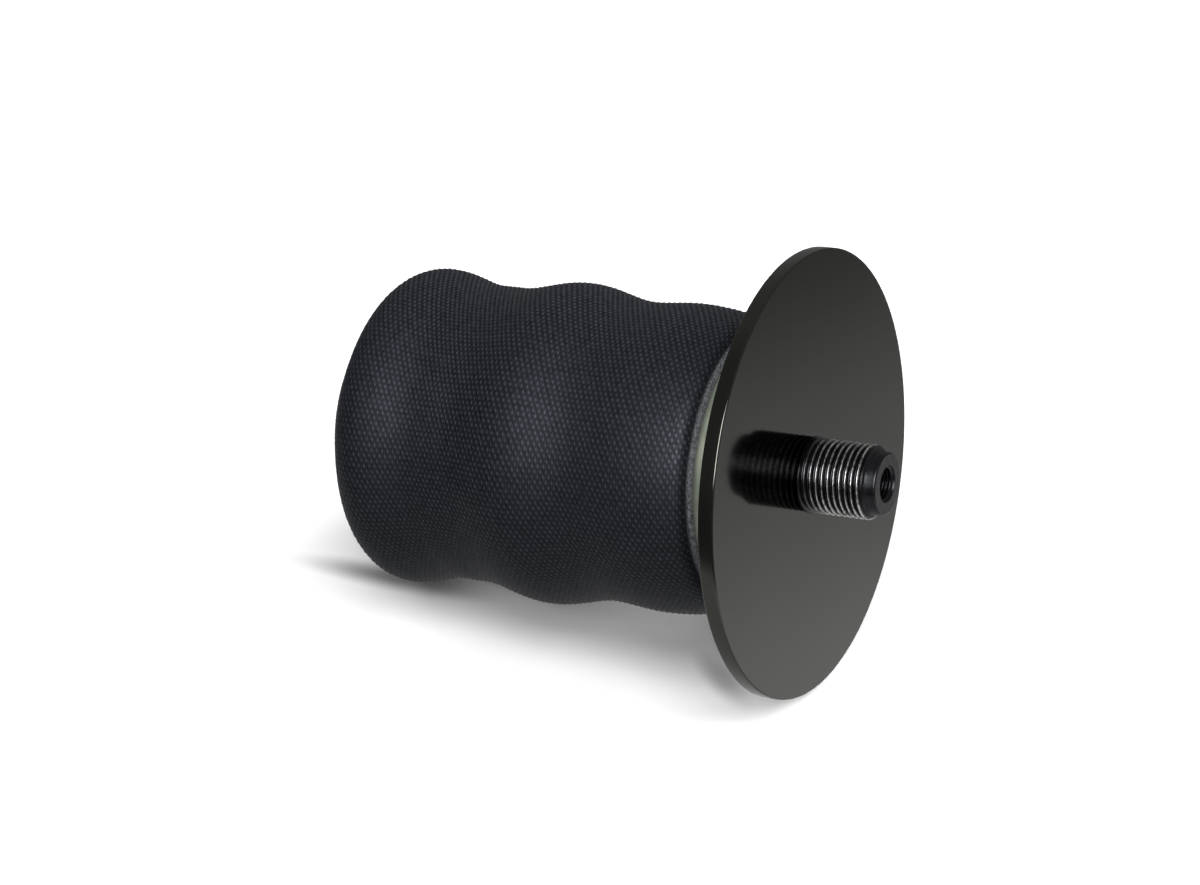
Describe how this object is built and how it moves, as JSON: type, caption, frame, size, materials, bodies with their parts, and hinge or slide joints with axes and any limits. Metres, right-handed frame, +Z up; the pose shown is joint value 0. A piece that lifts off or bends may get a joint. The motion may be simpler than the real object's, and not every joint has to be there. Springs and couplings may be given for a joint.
{
  "type": "sleeve air spring",
  "caption": "Rolling-lobe sleeve air spring with a round mounting plate, a threaded air stud and a piston inside the sleeve's folded end.",
  "frame": {"origin": "on the stroke axis at the mounting plate's outer face, at the root of the stud's thread", "axes": "+X along the stroke axis, out through the stud; the piston's base faces -X; +Z is up as the part lies in the picture"},
  "size_m": [0.1482, 0.1142, 0.1142],
  "materials": {
    "plate_black": "gloss black plating, mirror smooth",
    "stud_steel": "dark satin nose with bright thread crests",
    "zinc": "zinc plated sheet, pale greenish silver",
    "cover_rubber": "blue-black rubber with an impressed cloth weave",
    "outer_ply_cord": "rubberised cord, first direction",
    "inner_ply_cord": "rubberised cord, crossing direction",
    "liner_rubber": "smooth black rubber",
    "bead_wire": "bronze plated steel wire",
    "seal_rubber": "smooth black nitrile rubber",
    "piston_nylon": "black glass-filled nylon",
    "insert_steel": "turned steel",
    "bolt_steel": "zinc plated steel",
    "bumper_rubber": "matt moulded rubber"
  },
  "bodies": {
    "upper_end": {"mounting_plate": "plate_black", "combo_stud": "stud_steel", "stud_seal": "seal_rubber", "bead_plate": "zinc", "upper_bead_wire": "bead_wire", "sleeve_cover": "cover_rubber", "outer_ply": "outer_ply_cord", "inner_ply": "inner_ply_cord", "inner_liner": "liner_rubber"},
    "piston": {"lower_bead_wire": "bead_wire", "end_closure": "zinc", "piston": "piston_nylon", "piston_insert": "insert_steel", "piston_bolt": "bolt_steel", "lock_washer": "bolt_steel", "bolt_seal": "seal_rubber", "bumper_retainer": "zinc", "bumper": "bumper_rubber"}
  },
  "joints": [
    {"name": "stroke", "type": "slide", "parent": "upper_end", "child": "piston", "axis": [-1, 0, 0], "range_m": [-0.02, 0.08], "stiffness_N_per_m": 6000, "deforming": ["sleeve_cover", "outer_ply", "inner_ply", "inner_liner"]}
  ]
}
